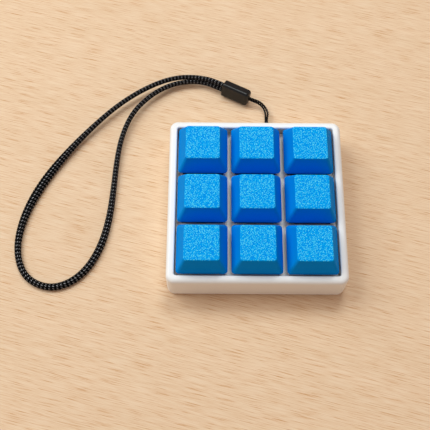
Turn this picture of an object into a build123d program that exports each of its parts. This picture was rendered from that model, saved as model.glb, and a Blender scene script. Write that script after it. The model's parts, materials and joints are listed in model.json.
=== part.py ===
from build123d import *
import os
from math import atan, cos, degrees, pi, radians, sin, tan

# A square macro keypad: nine sprung keys in a white moulded case, with a wrist cord.
# Millimetres. Origin on the desk under the middle of the case, +X right, +Y to the rear, +Z up.

os.makedirs("parts", exist_ok=True)

# Key grid
key_spacing = 19.05
key_count = 3
column_names = ["left", "centre", "right"]
row_names = ["front", "middle", "back"]
overrun = 1.0

# Stack of flat parts, from the desk up
foot_proud = 0.5
cover_thickness = 1.2
under_board_room = 3.3
board_thickness = 1.2
plate_gap = 0.9
plate_thickness = 1.3
plate_rib_width = 3.4
plate_rib_height = 1.0

# Switch, from the board up
key_travel = 3.0
housing_floor = 0.5
bottom_out_gap = 0.1
slider_flange_thickness = 0.8
housing_roof = 0.8
housing_flange_thickness = 0.8
housing_body = 13.9
housing_flange = 14.8
housing_upper_base = 14.4
housing_draft = 13.0
slider_flange = 8.6
slider_width = 7.0
slider_depth = 5.4
slider_roof = 1.0
slide_clearance = 0.1
guide_clearance = 0.2
cross_length = 4.0
cross_arm = 1.2
cross_height = 3.8
cross_clearance = 0.05
spring_wire = 0.4
spring_mean = 3.2
spring_turns = 4
spring_steps = 6
spring_clearance = 0.3
spring_post = 1.5
spring_post_height = 1.2

# Contact blades and the socket under the board
blade_width = 1.6
blade_thickness = 0.3
blade_height = 2.0
blade_spacing = 3.0
blade_from_centre = 5.5
pin_width = 0.8
pin_clearance = 0.15
blade_pocket_length = 5.4
blade_pocket_depth = 1.2
socket_length = 7.0
socket_depth = 3.0
socket_height = 1.6
socket_floor = 0.4

# Keycap
cap_base = 17.8
cap_base_back = 9.2
cap_height = 7.85
cap_top_width = 12.6
cap_top_front = 6.8
cap_top_back = 6.2
cap_corner_radius = 1.0
cap_edge_chamfer = 0.3
cap_wall = 1.3
cap_roof = 1.5
cap_boss = 5.5
cross_socket_gap = 0.2
skirt_gap = 0.55

# Case shell
rim_gap = 0.55
rim_wall = 2.8
rim_rise = 0.55
case_corner_radius = 3.0
rim_edge_radius = 1.5
rim_inner_chamfer = 0.4
case_foot_chamfer = 0.4
opening_corner = 0.8
ledge_width = 1.2
cover_lip = 2.1
panel_clearance = 0.2
board_clearance = 0.3

# Screws, bosses and feet
screw_diameter = 2.0
screw_head = 3.8
screw_head_slope = 45.0
screw_length = 5.0
screw_clearance = 0.1
screw_sides = 16
boss_side = 3.6
boss_clearance = 0.2
boss_tip_room = 0.6
foot_side = 8.0
foot_inset = 6.5

# Parts under the board
chip_side = 7.0
chip_height = 0.9
diode_length = 2.8
diode_width = 1.6
diode_height = 1.1
diode_from_centre = 5.0

# USB receptacle, in the rear wall between the left and centre columns
usb_width = 8.94
usb_height = 3.16
usb_length = 7.35
usb_shell_wall = 0.3
usb_back_wall = 1.0
usb_recess = 0.4
usb_clearance = 0.25
tongue_width = 6.7
tongue_thickness = 0.7
tongue_length = 4.45

# Eye for the thin cord, in the rear wall
eye_x = 5.0
eye_z = 4.6
eye_width = 4.8
eye_height = 2.8
eye_depth = 2.8
eye_bar = 1.4
eye_bar_inset = 0.1

# Cord sleeve, leaning on the desk behind the case
sleeve_length = 11.2
sleeve_width = 5.3
sleeve_thickness = 3.4
sleeve_edge_chamfer = 0.8
sleeve_end_chamfer = 0.4
sleeve_x = -6.78
sleeve_y = 49.9
sleeve_turn = -26.5
sleeve_lean = 20.0
sleeve_pocket = 2.0
cord_clearance = 0.05

# Cords
wrist_cord_diameter = 2.0
wrist_cord_gap = 0.3
wrist_cord_lead = 4.5
wrist_cord_sides = 6
thin_cord_diameter = 0.8
thin_cord_gap = 0.2
thin_cord_lead = 3.2
thin_cord_sides = 4
cord_arc_share = 0.45

# Free points of the wrist cord, from the sleeve's upper seat round the loop to its lower seat
wrist_cord_route = [
    (-18.0, 56.2, 3.4),
    (-24.5, 57.5, 2.7),
    (-31.5, 57.1, 1.95),
    (-38.5, 54.7, 1.35),
    (-46.0, 50.0, 1.05),
    (-54.5, 42.5, 1.0),
    (-63.5, 33.2, 1.0),
    (-71.6, 22.9, 1.0),
    (-78.8, 11.5, 1.0),
    (-83.9, -0.5, 1.0),
    (-86.2, -12.0, 1.0),
    (-85.1, -21.4, 1.0),
    (-80.5, -27.4, 1.0),
    (-72.7, -29.8, 1.0),
    (-65.3, -27.6, 1.0),
    (-59.3, -21.7, 1.0),
    (-55.4, -12.7, 1.0),
    (-53.3, -2.0, 1.0),
    (-52.4, 9.5, 1.0),
    (-51.9, 20.5, 1.0),
    (-50.6, 31.0, 1.0),
    (-47.1, 41.7, 1.0),
    (-40.7, 49.2, 1.0),
    (-33.0, 54.0, 1.05),
    (-25.6, 56.0, 1.15),
    (-19.0, 55.3, 1.4),
]

# Free points of the thin cord, from the sleeve's upper seat round the eye's bar to its lower seat
thin_cord_route = [
    (2.9, 46.1, 2.6),
    (5.2, 44.2, 2.0),
    (6.0, 41.2, 1.9),
    (5.8, 37.9, 2.7),
    (6.6, 34.2, 4.2),
    (6.6, 29.2, 4.6),
    (3.4, 29.2, 4.6),
    (3.4, 34.2, 4.2),
    (4.6, 37.8, 2.5),
    (4.8, 40.9, 1.6),
    (4.1, 43.4, 1.5),
    (2.2, 45.1, 1.8),
]

# Heights
cover_top = foot_proud + cover_thickness
board_bottom = cover_top + under_board_room
board_top = board_bottom + board_thickness
plate_bottom = board_top + plate_gap
plate_top = plate_bottom + plate_thickness
flange_top = plate_top + housing_flange_thickness
floor_top = board_top + housing_floor
slider_bottom = floor_top + bottom_out_gap + key_travel
slider_flange_top = slider_bottom + slider_flange_thickness
housing_top = slider_flange_top + housing_roof
slider_top = housing_top + key_travel
spring_top = slider_top - slider_roof
cap_bottom = flange_top + skirt_gap + key_travel
cap_top = cap_bottom + cap_height
cap_ceiling = cap_top - cap_roof
rim_top = cap_bottom + rim_rise

# Plan sizes
opening = key_spacing * (key_count - 1) + cap_base + 2 * rim_gap
case_side = opening + 2 * rim_wall
plate_side = opening - 2 * panel_clearance
core_side = opening - 2 * ledge_width
board_side = core_side - 2 * board_clearance
cover_seat = case_side - 2 * cover_lip
cover_side = cover_seat - 2 * panel_clearance
slider_cavity = slider_flange + 2 * guide_clearance
spring_well = spring_mean + spring_wire + 2 * spring_clearance
foot_spacing = cover_side - 2 * foot_inset
screw_head_height = (screw_head - screw_diameter) / 2 / tan(radians(screw_head_slope))
usb_x = -key_spacing / 2
usb_mouth = case_side / 2 - usb_recess
usb_z = board_bottom - usb_height / 2


def key_places():
    """Name and middle of each key, front row first."""
    places = []
    for row in range(key_count):
        for column in range(key_count):
            name = f"{row_names[row]}_{column_names[column]}"
            x = (column - (key_count - 1) / 2) * key_spacing
            y = (row - (key_count - 1) / 2) * key_spacing
            places.append((name, x, y))
    return places


def save(piece, name):
    """Labels a finished piece and writes it under its own name."""
    piece.part.label = name
    export_step(piece.part, f"parts/{name}.step")


# Case shell: rounded frame with a ledge for the plate and a seat for the cover
with BuildPart() as case_shell:
    with BuildSketch(Plane.XY.offset(foot_proud)):
        RectangleRounded(case_side, case_side, case_corner_radius)
    extrude(amount=rim_top - foot_proud)
    fillet(case_shell.faces().sort_by(Axis.Z)[-1].edges(), rim_edge_radius)
    chamfer(case_shell.faces().sort_by(Axis.Z)[0].edges(), case_foot_chamfer)
    with BuildSketch(Plane.XY.offset(foot_proud - overrun)):
        Rectangle(core_side, core_side)
    extrude(amount=rim_top - foot_proud + 2 * overrun, mode=Mode.SUBTRACT)
    with BuildSketch(Plane.XY.offset(foot_proud - overrun)):
        Rectangle(cover_seat, cover_seat)
    extrude(amount=cover_thickness + overrun, mode=Mode.SUBTRACT)
    with BuildSketch(Plane.XY.offset(plate_bottom)) as opening_section:
        Rectangle(opening, opening)
        chamfer(opening_section.vertices(), opening_corner)
    extrude(amount=rim_top - plate_bottom, mode=Mode.SUBTRACT)
    rim_face = case_shell.faces().filter_by(Axis.Z).sort_by(Axis.Z)[-1]
    chamfer(rim_face.inner_wires()[0].edges(), rim_inner_chamfer)
    # USB mouth through the rear wall
    with BuildSketch(Plane.XZ.offset(-case_side / 2 - overrun)):
        with Locations((usb_x, usb_z)):
            SlotOverall(usb_width + 2 * usb_clearance, usb_height + 2 * usb_clearance)
    extrude(amount=(case_side - core_side) / 2 + 2 * overrun, mode=Mode.SUBTRACT)
    # Pocket and bar of the cord eye
    with BuildSketch(Plane.XZ.offset(-case_side / 2 - overrun)):
        with Locations((eye_x, eye_z)):
            Rectangle(eye_width, eye_height)
    extrude(amount=eye_depth + overrun, mode=Mode.SUBTRACT)
    with BuildSketch(Plane.XY.offset(eye_z - eye_height / 2)):
        with Locations((eye_x, case_side / 2 - eye_bar_inset - eye_bar / 2)):
            Circle(eye_bar / 2)
    extrude(amount=eye_height)
save(case_shell, "case_shell")

# Switch plate: one opening for each switch, ribs between the keys, and four screw bosses underneath
with BuildPart() as switch_plate:
    with BuildSketch(Plane.XY.offset(plate_bottom)) as plate_section:
        Rectangle(plate_side, plate_side)
        chamfer(plate_section.vertices(), opening_corner)
        with GridLocations(key_spacing, key_spacing, key_count, key_count):
            Rectangle(
                housing_body + 2 * slide_clearance,
                housing_body + 2 * slide_clearance,
                mode=Mode.SUBTRACT,
            )
    extrude(amount=plate_thickness)
    with BuildSketch(Plane.XY.offset(plate_top)):
        with GridLocations(key_spacing, 0, key_count - 1, 1):
            Rectangle(plate_rib_width, plate_side)
        with GridLocations(0, key_spacing, 1, key_count - 1):
            Rectangle(plate_side, plate_rib_width)
    extrude(amount=plate_rib_height)
    with BuildSketch(Plane.XY.offset(cover_top)):
        with GridLocations(key_spacing, key_spacing, key_count - 1, key_count - 1):
            Rectangle(boss_side, boss_side)
    extrude(amount=plate_bottom - cover_top)
    with BuildSketch(Plane.XY.offset(cover_top)):
        with GridLocations(key_spacing, key_spacing, key_count - 1, key_count - 1):
            RegularPolygon(screw_diameter / 2 + screw_clearance, screw_sides)
    extrude(amount=screw_length - cover_thickness + boss_tip_room, mode=Mode.SUBTRACT)
save(switch_plate, "switch_plate")

# Bottom cover, countersunk for the screws
with BuildPart() as bottom_cover:
    with BuildSketch(Plane.XY.offset(foot_proud)):
        Rectangle(cover_side, cover_side)
        with GridLocations(key_spacing, key_spacing, key_count - 1, key_count - 1):
            RegularPolygon(screw_diameter / 2 + screw_clearance, screw_sides, mode=Mode.SUBTRACT)
    extrude(amount=cover_thickness)
    with BuildSketch(Plane.XY.offset(foot_proud)):
        with GridLocations(key_spacing, key_spacing, key_count - 1, key_count - 1):
            RegularPolygon(screw_head / 2 + screw_clearance, screw_sides)
    extrude(amount=screw_head_height, taper=screw_head_slope, mode=Mode.SUBTRACT)
save(bottom_cover, "bottom_cover")

# Cover screws with flat heads
with BuildPart() as cover_screws:
    with BuildSketch(Plane.XY.offset(foot_proud)):
        with GridLocations(key_spacing, key_spacing, key_count - 1, key_count - 1):
            RegularPolygon(screw_head / 2, screw_sides)
    extrude(amount=screw_head_height, taper=screw_head_slope)
    with BuildSketch(Plane.XY.offset(foot_proud)):
        with GridLocations(key_spacing, key_spacing, key_count - 1, key_count - 1):
            RegularPolygon(screw_diameter / 2, screw_sides)
    extrude(amount=screw_length)
save(cover_screws, "cover_screws")

# Rubber feet, stuck to the cover
with BuildPart() as rubber_feet:
    with BuildSketch():
        with GridLocations(foot_spacing, foot_spacing, 2, 2):
            Rectangle(foot_side, foot_side)
    extrude(amount=foot_proud)
save(rubber_feet, "rubber_feet")

# Circuit board: clear of the bosses, with a slot for each contact pin
with BuildPart() as circuit_board:
    with BuildSketch(Plane.XY.offset(board_bottom)):
        Rectangle(board_side, board_side)
        with GridLocations(key_spacing, key_spacing, key_count - 1, key_count - 1):
            Rectangle(boss_side + 2 * boss_clearance, boss_side + 2 * boss_clearance, mode=Mode.SUBTRACT)
        for name, x, y in key_places():
            with Locations((x, y + blade_from_centre)):
                with GridLocations(blade_spacing, 0, 2, 1):
                    Rectangle(
                        pin_width + 2 * pin_clearance,
                        blade_thickness + 2 * pin_clearance,
                        mode=Mode.SUBTRACT,
                    )
    extrude(amount=board_thickness)
save(circuit_board, "circuit_board")

# Microcontroller, under the board between the centre and right columns
with BuildPart() as microcontroller:
    with BuildSketch(Plane.XY.offset(board_bottom - chip_height)):
        with Locations((key_spacing / 2, 0)):
            Rectangle(chip_side, chip_side)
    extrude(amount=chip_height)
save(microcontroller, "microcontroller")

# Diodes, one for each key
with BuildPart() as diodes:
    with BuildSketch(Plane.XY.offset(board_bottom - diode_height)):
        for name, x, y in key_places():
            with Locations((x, y - diode_from_centre)):
                Rectangle(diode_length, diode_width)
    extrude(amount=diode_height)
save(diodes, "diodes")

# Switch sockets under the board, with a well for each pin
with BuildPart() as switch_sockets:
    with BuildSketch(Plane.XY.offset(board_bottom - socket_height)):
        for name, x, y in key_places():
            with Locations((x, y + blade_from_centre)):
                Rectangle(socket_length, socket_depth)
    extrude(amount=socket_height)
    with BuildSketch(Plane.XY.offset(board_bottom - socket_height + socket_floor)):
        for name, x, y in key_places():
            with Locations((x, y + blade_from_centre)):
                with GridLocations(blade_spacing, 0, 2, 1):
                    Rectangle(pin_width + 2 * pin_clearance, blade_thickness + 2 * pin_clearance)
    extrude(amount=socket_height, mode=Mode.SUBTRACT)
save(switch_sockets, "switch_sockets")

# Contact blades: a wide blade on the housing floor, and its pin down into the socket
with BuildPart() as contact_blades:
    with BuildSketch(Plane.XY.offset(floor_top)):
        for name, x, y in key_places():
            with Locations((x, y + blade_from_centre)):
                with GridLocations(blade_spacing, 0, 2, 1):
                    Rectangle(blade_width, blade_thickness)
    extrude(amount=blade_height)
    with BuildSketch(Plane.XY.offset(board_bottom - socket_height + socket_floor)):
        for name, x, y in key_places():
            with Locations((x, y + blade_from_centre)):
                with GridLocations(blade_spacing, 0, 2, 1):
                    Rectangle(pin_width, blade_thickness)
    extrude(amount=floor_top - board_bottom + socket_height - socket_floor)
save(contact_blades, "contact_blades")

# USB receptacle: drawn metal shell, open to the rear
usb_plane = Plane.XZ.offset(-usb_mouth)
with BuildPart() as usb_receptacle:
    with BuildSketch(usb_plane):
        with Locations((usb_x, usb_z)):
            SlotOverall(usb_width, usb_height)
    extrude(amount=usb_length)
    with BuildSketch(usb_plane):
        with Locations((usb_x, usb_z)):
            SlotOverall(usb_width - 2 * usb_shell_wall, usb_height - 2 * usb_shell_wall)
    extrude(amount=usb_length - usb_back_wall, mode=Mode.SUBTRACT)
save(usb_receptacle, "usb_receptacle")

# USB tongue, standing on the back wall of the receptacle
with BuildPart() as usb_tongue:
    with BuildSketch(usb_plane.offset(usb_length - usb_back_wall - tongue_length)):
        with Locations((usb_x, usb_z)):
            Rectangle(tongue_width, tongue_thickness)
    extrude(amount=tongue_length)
save(usb_tongue, "usb_tongue")


def make_lower_housing(name, x, y):
    """Switch base: drops through the plate, hangs on its flange and stands on the board."""
    middle = Plane(origin=(x, y, 0))
    with BuildPart() as housing:
        with BuildSketch(middle.offset(board_top)):
            Rectangle(housing_body, housing_body)
        extrude(amount=plate_top - board_top)
        with BuildSketch(middle.offset(plate_top)):
            Rectangle(housing_flange, housing_flange)
        extrude(amount=housing_flange_thickness)
        with BuildSketch(middle.offset(floor_top)):
            Rectangle(slider_cavity, slider_cavity)
            with Locations((0, blade_from_centre)):
                Rectangle(blade_pocket_length, blade_pocket_depth)
        extrude(amount=flange_top - floor_top, mode=Mode.SUBTRACT)
        with BuildSketch(middle.offset(floor_top)):
            Rectangle(spring_post, spring_post)
        extrude(amount=spring_post_height)
        with BuildSketch(middle.offset(board_top)):
            with Locations((0, blade_from_centre)):
                with GridLocations(blade_spacing, 0, 2, 1):
                    Rectangle(pin_width + 2 * pin_clearance, blade_thickness + 2 * pin_clearance)
        extrude(amount=housing_floor, mode=Mode.SUBTRACT)
    save(housing, f"lower_housing_{name}")


def make_upper_housing(name, x, y):
    """Switch lid: tapered, with the slider's square well below and its opening in the roof."""
    middle = Plane(origin=(x, y, 0))
    with BuildPart() as housing:
        with BuildSketch(middle.offset(flange_top)):
            Rectangle(housing_upper_base, housing_upper_base)
        extrude(amount=housing_top - flange_top, taper=housing_draft)
        with BuildSketch(middle.offset(flange_top)):
            Rectangle(slider_cavity, slider_cavity)
        extrude(amount=slider_flange_top - flange_top, mode=Mode.SUBTRACT)
        with BuildSketch(middle.offset(slider_flange_top)):
            Rectangle(slider_width + 2 * slide_clearance, slider_depth + 2 * slide_clearance)
        extrude(amount=housing_roof, mode=Mode.SUBTRACT)
    save(housing, f"upper_housing_{name}")


def make_stem(name, x, y):
    """Slider: held under the roof by its flange, with a well for the spring and a cross on top."""
    middle = Plane(origin=(x, y, 0))
    with BuildPart() as stem:
        with BuildSketch(middle.offset(slider_bottom)):
            Rectangle(slider_flange, slider_flange)
        extrude(amount=slider_flange_thickness)
        with BuildSketch(middle.offset(slider_flange_top)):
            Rectangle(slider_width, slider_depth)
        extrude(amount=slider_top - slider_flange_top)
        with BuildSketch(middle.offset(slider_top)):
            Rectangle(cross_length, cross_arm)
            Rectangle(cross_arm, cross_length)
        extrude(amount=cross_height)
        with BuildSketch(middle.offset(slider_bottom)):
            Rectangle(spring_well, spring_well)
        extrude(amount=spring_top - slider_bottom, mode=Mode.SUBTRACT)
    save(stem, f"stem_{name}")


def make_spring(name, x, y):
    """Return spring: one faceted coil from the housing floor to the top of the slider's well."""
    steps = spring_turns * spring_steps
    low = floor_top + spring_wire
    rise = spring_top - floor_top - 2 * spring_wire
    points = []
    for step in range(steps + 1):
        angle = 2 * pi * step / spring_steps
        across = spring_mean / 2
        points.append((x + across * cos(angle), y + across * sin(angle), low + rise * step / steps))
    with BuildPart() as spring:
        with BuildLine() as coil:
            Polyline(*points)
        with BuildSketch(Plane(origin=coil.line @ 0, x_dir=(1, 0, 0), z_dir=coil.line % 0)):
            Rectangle(spring_wire, spring_wire)
        sweep(path=coil.line, transition=Transition.RIGHT)
    save(spring, f"spring_{name}")


def make_keycap(name, x, y):
    """Keycap: four sloping sides to a flat top set forward, hollow, with a cross socket."""
    foot = cap_base / 2
    side = cap_top_width / 2
    draft = degrees(atan((foot - side) / cap_height))
    middle = Plane(origin=(x, y, 0))
    side_view = Plane(origin=(x, y, cap_bottom), x_dir=(0, 1, 0), z_dir=(1, 0, 0))
    front_view = Plane(origin=(x, y, cap_bottom), x_dir=(1, 0, 0), z_dir=(0, -1, 0))
    with BuildPart() as cap:
        with BuildSketch(side_view):
            with BuildLine():
                Polyline(
                    (-foot, 0),
                    (cap_base_back, 0),
                    (cap_top_back, cap_height),
                    (-cap_top_front, cap_height),
                    close=True,
                )
            make_face()
        extrude(amount=foot, both=True)
        with BuildSketch(front_view):
            with BuildLine():
                Polyline((-foot, 0), (foot, 0), (side, cap_height), (-side, cap_height), close=True)
            make_face()
        extrude(amount=cap_base_back, both=True, mode=Mode.INTERSECT)
        chamfer(cap.faces().sort_by(Axis.Z)[-1].edges(), cap_edge_chamfer)
        corners = cap.edges().filter_by(lambda edge: edge.bounding_box().size.Z > cap_height / 2)
        fillet(corners, cap_corner_radius)
        with BuildSketch(middle.offset(cap_bottom)):
            Rectangle(cap_base - 2 * cap_wall, cap_base - 2 * cap_wall)
        extrude(amount=cap_height - cap_roof, taper=draft, mode=Mode.SUBTRACT)
        with BuildSketch(middle.offset(slider_top)):
            Rectangle(cap_boss, cap_boss)
        extrude(amount=cap_ceiling - slider_top)
        with BuildSketch(middle.offset(slider_top)):
            Rectangle(cross_length + 2 * cross_clearance, cross_arm + 2 * cross_clearance)
            Rectangle(cross_arm + 2 * cross_clearance, cross_length + 2 * cross_clearance)
        extrude(amount=cross_height + cross_socket_gap, mode=Mode.SUBTRACT)
    save(cap, f"keycap_{name}")


for key_name, key_x, key_y in key_places():
    make_lower_housing(key_name, key_x, key_y)
    make_upper_housing(key_name, key_x, key_y)
    make_stem(key_name, key_x, key_y)
    make_spring(key_name, key_x, key_y)
    make_keycap(key_name, key_x, key_y)

# Cord sleeve: a moulded block turned on the desk and leaning back on its lower edge
turn = radians(sleeve_turn)
lean = radians(sleeve_lean)
sleeve_axis = Vector(cos(turn), sin(turn), 0)
sleeve_up = Vector(-sin(turn) * sin(lean), cos(turn) * sin(lean), cos(lean))
sleeve_z = sleeve_width / 2 * cos(lean) + (sleeve_thickness / 2 - sleeve_edge_chamfer) * sin(lean)
sleeve_middle = Vector(sleeve_x, sleeve_y, sleeve_z)
strap_face = Plane(sleeve_middle - sleeve_axis * (sleeve_length / 2), x_dir=sleeve_up, z_dir=sleeve_axis)
strap_seat = strap_face.offset(sleeve_pocket)
thin_seat = strap_face.offset(sleeve_length - sleeve_pocket)
wrist_pair = wrist_cord_diameter + wrist_cord_gap
thin_pair = thin_cord_diameter + thin_cord_gap

with BuildPart() as cord_sleeve:
    with BuildSketch(strap_face) as sleeve_section:
        Rectangle(sleeve_width, sleeve_thickness)
        chamfer(sleeve_section.vertices(), sleeve_edge_chamfer)
    extrude(amount=sleeve_length)
    end_faces = cord_sleeve.faces().filter_by(Axis(sleeve_middle, sleeve_axis))
    chamfer(end_faces.edges(), sleeve_end_chamfer)
    with BuildSketch(strap_face):
        SlotCenterToCenter(wrist_pair, wrist_cord_diameter + 2 * cord_clearance)
    extrude(amount=sleeve_pocket, mode=Mode.SUBTRACT)
    with BuildSketch(thin_seat):
        SlotCenterToCenter(thin_pair, thin_cord_diameter + 2 * cord_clearance)
    extrude(amount=sleeve_pocket, mode=Mode.SUBTRACT)
save(cord_sleeve, "cord_sleeve")


def arc_radii(points):
    """Largest radius that the two runs at each corner leave room for."""
    radii = []
    for before, corner, after in zip(points, points[1:], points[2:]):
        arriving = corner - before
        leaving = after - corner
        shorter = min(arriving.length, leaving.length)
        half_turn = radians(arriving.get_angle(leaving)) / 2
        radii.append(cord_arc_share * shorter / tan(half_turn))
    return radii


def make_cord(name, points, diameter, sides):
    """Faceted cord along straight runs joined by tangent arcs."""
    radii = arc_radii(points)
    with BuildPart() as cord:
        with BuildLine() as route:
            FilletPolyline(*points, radius=radii)
        with BuildSketch(Plane(origin=route.line @ 0, z_dir=route.line % 0)):
            RegularPolygon(diameter / 2, sides)
        sweep(path=route.line)
    length = route.wire().length
    section = sides / 2 * (diameter / 2) ** 2 * sin(2 * pi / sides)
    volume_share = cord.part.volume / (section * length)
    print(f"{name}: length {length:.1f}, volume over section times length {volume_share:.4f}")
    print(f"{name}: radii", [round(radius, 1) for radius in radii])
    save(cord, name)


def cord_points(seat_plane, pair, lead, route, outward):
    """Route with its two straight leads out of the sleeve's pocket."""
    upper = seat_plane.from_local_coords((pair / 2, 0, 0))
    lower = seat_plane.from_local_coords((-pair / 2, 0, 0))
    out = sleeve_axis * (outward * lead)
    free = [Vector(*point) for point in route]
    return [Vector(*upper), Vector(*upper) + out, *free, Vector(*lower) + out, Vector(*lower)]


make_cord(
    "wrist_cord",
    cord_points(strap_seat, wrist_pair, wrist_cord_lead, wrist_cord_route, -1),
    wrist_cord_diameter,
    wrist_cord_sides,
)
make_cord(
    "thin_cord",
    cord_points(thin_seat, thin_pair, thin_cord_lead, thin_cord_route, 1),
    thin_cord_diameter,
    thin_cord_sides,
)
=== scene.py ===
# %% [markdown]
# # Dressing a macro keypad
# The keypad was drawn in CAD and packed as named nodes on named bodies. This lesson loads that frame,
# sets up the photograph's camera and light, lays the cords, and then gives each piece its finished form
# and surface.

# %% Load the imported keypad
import json
import math
from collections import namedtuple

import bmesh
import bpy
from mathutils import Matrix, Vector


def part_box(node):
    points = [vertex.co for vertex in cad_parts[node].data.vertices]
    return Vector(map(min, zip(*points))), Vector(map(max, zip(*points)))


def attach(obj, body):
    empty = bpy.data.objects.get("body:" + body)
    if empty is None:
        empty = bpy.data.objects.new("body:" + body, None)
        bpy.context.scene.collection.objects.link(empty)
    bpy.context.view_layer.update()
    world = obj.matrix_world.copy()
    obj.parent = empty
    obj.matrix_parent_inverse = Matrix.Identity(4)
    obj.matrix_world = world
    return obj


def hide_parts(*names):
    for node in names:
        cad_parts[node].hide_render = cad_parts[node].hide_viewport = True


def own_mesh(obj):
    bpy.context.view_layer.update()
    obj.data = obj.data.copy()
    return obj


MM = 0.001
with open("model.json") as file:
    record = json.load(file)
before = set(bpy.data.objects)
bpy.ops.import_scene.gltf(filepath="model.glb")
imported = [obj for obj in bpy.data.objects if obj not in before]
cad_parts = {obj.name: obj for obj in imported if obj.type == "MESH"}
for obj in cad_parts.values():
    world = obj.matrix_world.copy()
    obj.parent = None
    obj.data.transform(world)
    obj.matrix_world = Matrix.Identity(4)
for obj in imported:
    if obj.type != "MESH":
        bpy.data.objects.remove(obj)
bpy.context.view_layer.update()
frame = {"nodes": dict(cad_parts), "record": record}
nodes = frame["nodes"]
scene = bpy.context.scene
scene.view_settings.view_transform = "Standard"

# %% [markdown]
# ## Camera
# The photograph looks down on the keypad from the front. A pinhole camera was fitted to the corners of
# the key tops and of the rim, which stand at known places. That fit gives the place in millimetres, the
# turn in degrees and the lens below.

# %% Set the camera
camera_place = (-15.397, -113.448, 266.232)
camera_turn = (22.947, -0.314, 0.300)
camera_data = bpy.data.cameras.new("photo_camera")
camera_data.lens = 65.64
camera_data.sensor_width = 36.0
camera_data.clip_start = 0.01
camera = bpy.data.objects.new("photo_camera", camera_data)
camera.location = Vector(camera_place) * MM
camera.rotation_euler = [math.radians(angle) for angle in camera_turn]
scene.collection.objects.link(camera)
scene.camera = camera
print("camera", round(camera.location.length, 3), "m from the origin")

# %% [markdown]
# ## Light
# The photograph has soft daylight from the rear: the shadows are blurred, fall to the front and the
# right, and are warm, because the room lights them. So a weak warm world fills the shade, and cool lamps
# give the direction: a broad one at the rear left, a smaller one behind that shines down into the gaps
# between the keys, and a faint one high at the front. Each lamp is given as its share of the light on a
# level surface. The shares and the world add up to about one, so every colour below renders about as it
# is written.

# %% Light the world and hang the lamps
world = bpy.data.worlds.new("studio_world")
world.use_nodes = True
world_light = world.node_tree.nodes["Background"]
world_light.inputs["Color"].default_value = (1.0, 0.78, 0.68, 1.0)
world_light.inputs["Strength"].default_value = 0.34
scene.world = world
lamp_distance = 1.2
lamp_colour = (0.93, 1.0, 1.0)


def hang_lamp(name, share, turn, rise, width):
    """A square soft lamp that faces the keypad, turned left from straight behind and raised by degrees."""
    across = math.cos(math.radians(rise))
    up = math.sin(math.radians(rise))
    toward = Vector((-across * math.sin(math.radians(turn)), across * math.cos(math.radians(turn)), up))
    lamp_data = bpy.data.lights.new(name, "AREA")
    lamp_data.size = width
    lamp_data.color = lamp_colour
    lamp_data.energy = share * math.pi**2 * lamp_distance**2 / up
    lamp = bpy.data.objects.new(name, lamp_data)
    lamp.location = toward * lamp_distance
    lamp.rotation_euler = toward.to_track_quat("Z", "Y").to_euler()
    scene.collection.objects.link(lamp)
    return lamp


lamps = [
    hang_lamp("window_lamp", share=0.44, turn=62, rise=48, width=0.8),
    hang_lamp("back_lamp", share=0.26, turn=-9, rise=60, width=0.4),
    hang_lamp("front_lamp", share=0.02, turn=180, rise=68, width=0.5),
]
print("lamps of", [round(lamp.data.energy, 1) for lamp in lamps], "watts")

# %% [markdown]
# ## Helpers for surfaces
# Colours are written as they look on a screen, 0 to 255, and turned into the linear light that shaders
# work in. Small helpers add and join nodes, and start a material or a node group: a group is built once
# and then placed in every material that needs its effect.

# %% Node helpers

# A Mix node has several sockets of each name, so those for colours are found by number
MIX_FIRST = 6
MIX_SECOND = 7
MIX_RESULT = 2


def paint(red, green, blue):
    """Linear colour of a screen colour."""
    shares = [value / 255 for value in (red, green, blue)]
    linear = [share / 12.92 if share <= 0.04045 else ((share + 0.055) / 1.055) ** 2.4 for share in shares]
    return (*linear, 1.0)


def add_node(tree, kind, values=None, **settings):
    """A new node with its settings and its socket values."""
    node = tree.nodes.new(kind)
    for name, value in settings.items():
        setattr(node, name, value)
    for socket, value in (values or {}).items():
        node.inputs[socket].default_value = value
    return node


def join(tree, source, output, target, socket):
    """A link from one node's output to another node's socket."""
    tree.links.new(source.outputs[output], target.inputs[socket])


def colour_ramp(tree, *stops):
    """A ramp node through its stops, each a place from 0 to 1 and a colour."""
    node = add_node(tree, "ShaderNodeValToRGB")
    elements = node.color_ramp.elements
    elements.remove(elements[1])
    elements[0].position, elements[0].color = stops[0]
    for place, colour in stops[1:]:
        elements.new(place).color = colour
    return node


def start_group(name, inputs, outputs):
    """An empty node group with float sockets, and its two end nodes."""
    group = bpy.data.node_groups.new(name, "ShaderNodeTree")
    for label, value in inputs.items():
        socket = group.interface.new_socket(label, in_out="INPUT", socket_type="NodeSocketFloat")
        socket.default_value = value
    for label in outputs:
        group.interface.new_socket(label, in_out="OUTPUT", socket_type="NodeSocketFloat")
    return group, group.nodes.new("NodeGroupInput"), group.nodes.new("NodeGroupOutput")


def start_material(name, colour, roughness, **sockets):
    """A material with its main shader set, and the tree to add to."""
    material = bpy.data.materials.new(name)
    material.use_nodes = True
    shader = material.node_tree.nodes["Principled BSDF"]
    shader.inputs["Base Color"].default_value = colour
    shader.inputs["Roughness"].default_value = roughness
    for socket, value in sockets.items():
        shader.inputs[socket.replace("_", " ")].default_value = value
    return material, material.node_tree, shader


def place_group(tree, group, **values):
    """One group placed in a material, with its own values."""
    node = add_node(tree, "ShaderNodeGroup", node_tree=group)
    for socket, value in values.items():
        node.inputs[socket.replace("_", " ")].default_value = value
    return node


print("node helpers ready")

# %% [markdown]
# ## Shared effects
# Moulded plastic is never quite even: the tool leaves a fine grain, and gloss drifts in broad clouds. The
# group Moulding gives both. Worn metal shines on its edges: Edges reads how pointed the surface is. Cord
# yarn is a bundle of fine filaments that lie across the strand at a slant: Yarn draws them from the
# strand's own coordinates, and tells where the strand lies on top.

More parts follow.
